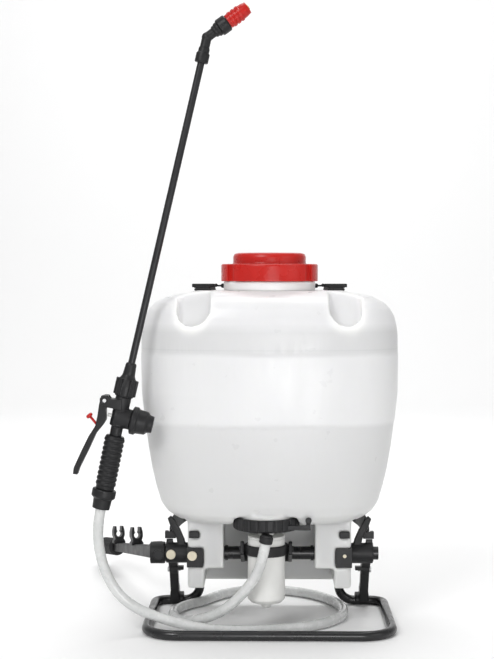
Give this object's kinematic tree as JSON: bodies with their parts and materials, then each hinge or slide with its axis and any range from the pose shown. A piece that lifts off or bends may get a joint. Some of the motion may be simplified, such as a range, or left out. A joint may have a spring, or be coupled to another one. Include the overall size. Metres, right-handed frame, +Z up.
{
  "type": "backpack sprayer",
  "caption": "Backpack sprayer: translucent tank on a tube frame, piston pump with hand lever, carrying straps, hose, and spray lance with trigger valve.",
  "frame": {"origin": "on the ground under the middle of the tank", "axes": "+Z up, +Y towards the wearer's back, +X to the right of someone facing the front of the tank"},
  "size_m": [0.459, 0.4971, 0.8374],
  "materials": {
    "tank_plastic": "translucent white blow-moulded polyethylene, fine satin",
    "white_plastic": "smooth white moulded plastic",
    "black_plastic": "black moulded plastic, fine grain",
    "cream_plastic": "cream moulded plastic",
    "red_plastic": "red moulded plastic, slight gloss",
    "frame_paint": "black powder coat on steel tube",
    "steel": "zinc-plated steel",
    "brass": "turned brass",
    "rubber": "black sealing rubber",
    "grip_rubber": "black ribbed grip rubber",
    "lance_plastic": "black extruded plastic tube",
    "hose_vinyl": "translucent reinforced vinyl hose",
    "webbing": "black woven polypropylene webbing",
    "pad_fabric": "black woven nylon over foam"
  },
  "bodies": {
    "tank_frame": {"tank": "tank_plastic", "filler_neck": "tank_plastic", "strainer_basket": "black_plastic", "frame_tube": "frame_paint", "side_bracket_left": "black_plastic", "side_bracket_right": "black_plastic", "shaft_bushes": "black_plastic", "bracket_bolts": "steel", "skirt_pegs": "black_plastic", "bearing_plugs": "cream_plastic", "pump_collar": "black_plastic", "pump_head": "white_plastic", "pressure_vessel": "white_plastic", "piston_rod": "white_plastic", "piston_cup": "rubber", "collar_latch": "black_plastic", "outlet_elbow": "black_plastic", "spray_hose": "hose_vinyl", "strap_hook_left": "black_plastic", "strap_hook_right": "black_plastic", "top_webbing_left": "webbing", "top_webbing_right": "webbing", "shoulder_pad_left": "pad_fabric", "shoulder_pad_right": "pad_fabric", "lower_webbing_left": "webbing", "lower_webbing_right": "webbing", "strap_buckle_left": "black_plastic", "strap_buckle_right": "black_plastic"},
    "lid_seal": {"lid_gasket": "rubber"},
    "lid": {"lid": "red_plastic"},
    "pump_drive": {"pump_shaft": "frame_paint", "pump_yoke": "black_plastic", "lever_arm": "black_plastic", "lever_grip": "grip_rubber", "wand_clip_near": "black_plastic", "wand_clip_far": "black_plastic", "lever_pin": "black_plastic"},
    "pump_barrel": {"pump_cylinder": "white_plastic", "cylinder_cap": "white_plastic", "foot_valve": "white_plastic", "trunnion_band": "black_plastic"},
    "lance": {"valve_body": "black_plastic", "trigger_pin": "steel", "valve_cap": "black_plastic", "valve_spring": "steel", "valve_grip": "black_plastic", "grip_filter": "white_plastic", "hose_nut": "black_plastic", "lance_tube": "lance_plastic", "wand_nut": "black_plastic"},
    "trigger": {"trigger": "black_plastic"},
    "valve_stem": {"valve_stem": "white_plastic"},
    "trigger_lock": {"trigger_lock": "red_plastic"},
    "nozzle_elbow": {"nozzle_elbow": "black_plastic", "nozzle_nut": "black_plastic"},
    "nozzle_cap": {"nozzle_cap": "red_plastic", "spray_tip": "brass"}
  },
  "joints": [
    {"name": "lid_lift", "type": "slide", "parent": "tank_frame", "child": "lid_seal", "axis": [0, 0, 1], "range_m": [0, 0.12]},
    {"name": "lid_turn", "type": "hinge", "parent": "lid_seal", "child": "lid", "pos_m": [0, 0, 0.48], "axis": [0, 0, 1], "range_deg": [0, 360]},
    {"name": "lever_swing", "type": "hinge", "parent": "tank_frame", "child": "pump_drive", "pos_m": [0, -0.012, 0.097], "axis": [1, 0, 0], "range_deg": [0, 36]},
    {"name": "pump_stroke", "type": "slide", "parent": "tank_frame", "child": "pump_barrel", "axis": [0, 0, 1], "range_m": [-0.0273, 0]},
    {"name": "lance_swing", "type": "hinge", "parent": "tank_frame", "child": "lance", "pos_m": [-0.22432, -0.085, 0.17], "axis": [0, -1, 0], "range_deg": [0, 30], "deforming": ["spray_hose"]},
    {"name": "trigger_squeeze", "type": "hinge", "parent": "lance", "child": "trigger", "pos_m": [-0.2175, -0.085, 0.315], "axis": [0, -1, 0], "range_deg": [0, 10], "stiffness_Nm_per_rad": 1.2, "springref_deg": -17.19},
    {"name": "stem_push", "type": "slide", "parent": "lance", "child": "valve_stem", "axis": [0.9736, 0, -0.2284], "range_m": [0, 0.00319], "deforming": ["valve_spring"]},
    {"name": "lock_slide", "type": "slide", "parent": "trigger", "child": "trigger_lock", "axis": [0.6392, 0, -0.769], "range_m": [0, 0.003]},
    {"name": "elbow_turn", "type": "hinge", "parent": "lance", "child": "nozzle_elbow", "pos_m": [-0.08224, -0.085, 0.79193], "axis": [0.2284, 0, 0.9736], "range_deg": [-170, 170]},
    {"name": "nozzle_turn", "type": "hinge", "parent": "nozzle_elbow", "child": "nozzle_cap", "pos_m": [-0.08224, -0.085, 0.79193], "axis": [0.809, 0, 0.5878], "range_deg": [0, 300]}
  ],
  "couplings": [
    {"joint": "pump_stroke", "follows": "lever_swing", "m_per_rad": -0.04343},
    {"joint": "stem_push", "follows": "trigger_squeeze", "m_per_rad": 0.01828}
  ]
}
